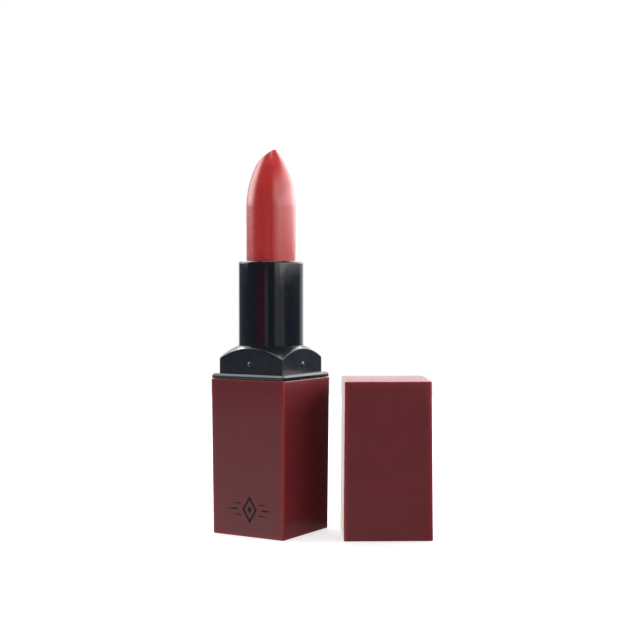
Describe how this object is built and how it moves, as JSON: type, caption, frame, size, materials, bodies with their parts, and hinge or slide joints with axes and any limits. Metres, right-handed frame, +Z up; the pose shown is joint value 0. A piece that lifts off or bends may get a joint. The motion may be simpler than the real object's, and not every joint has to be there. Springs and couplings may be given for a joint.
{
  "type": "lipstick case",
  "caption": "Square twist-up lipstick case standing open with a bullet turned fully out, and its square cap standing beside it.",
  "frame": {"origin": "middle of the underside of the base, on the axis of the bullet and of the twist", "axes": "+Z up along the bullet; +X and +Y square to the faces of the base, with the cap standing off towards +X and a little +Y"},
  "size_m": [0.0507, 0.0361, 0.0934],
  "materials": {
    "soft_burgundy": "soft-touch burgundy lacquer over moulded plastic",
    "black_moulding": "polished black",
    "black_tube": "gloss black lacquer on drawn aluminium",
    "black_insert": "plain moulded black",
    "natural_plastic": "natural moulded plastic",
    "steel_weight": "plated, as stamped",
    "ring_rubber": "plain",
    "label_paper": "blank coated paper",
    "lipstick_red": "waxy satin red"
  },
  "bodies": {
    "base": {"base_shell": "soft_burgundy", "base_core": "black_insert", "base_weight": "steel_weight", "bottom_label": "label_paper", "inner_tube": "natural_plastic", "friction_ring": "ring_rubber"},
    "collar": {"collar": "black_moulding", "outer_tube": "black_tube", "spiral_sleeve": "natural_plastic"},
    "carrier": {"carrier_cup": "black_insert", "lipstick_bullet": "lipstick_red"},
    "cap": {"cap_shell": "soft_burgundy", "cap_liner": "black_insert", "cap_weight": "steel_weight"}
  },
  "joints": [
    {"name": "collar_twist", "type": "hinge", "parent": "base", "child": "collar", "pos_m": [0, 0, 0], "axis": [0, 0, 1], "range_deg": [0, 540]},
    {"name": "bullet_lift", "type": "slide", "parent": "base", "child": "carrier", "axis": [0, 0, 1], "range_m": [-0.0301, 0]},
    {"name": "cap_lift", "type": "slide", "parent": "base", "child": "cap", "axis": [0, 0, 1], "range_m": [0, 0.07]}
  ],
  "couplings": [
    {"joint": "bullet_lift", "follows": "collar_twist", "m_per_rad": -0.0031831}
  ]
}
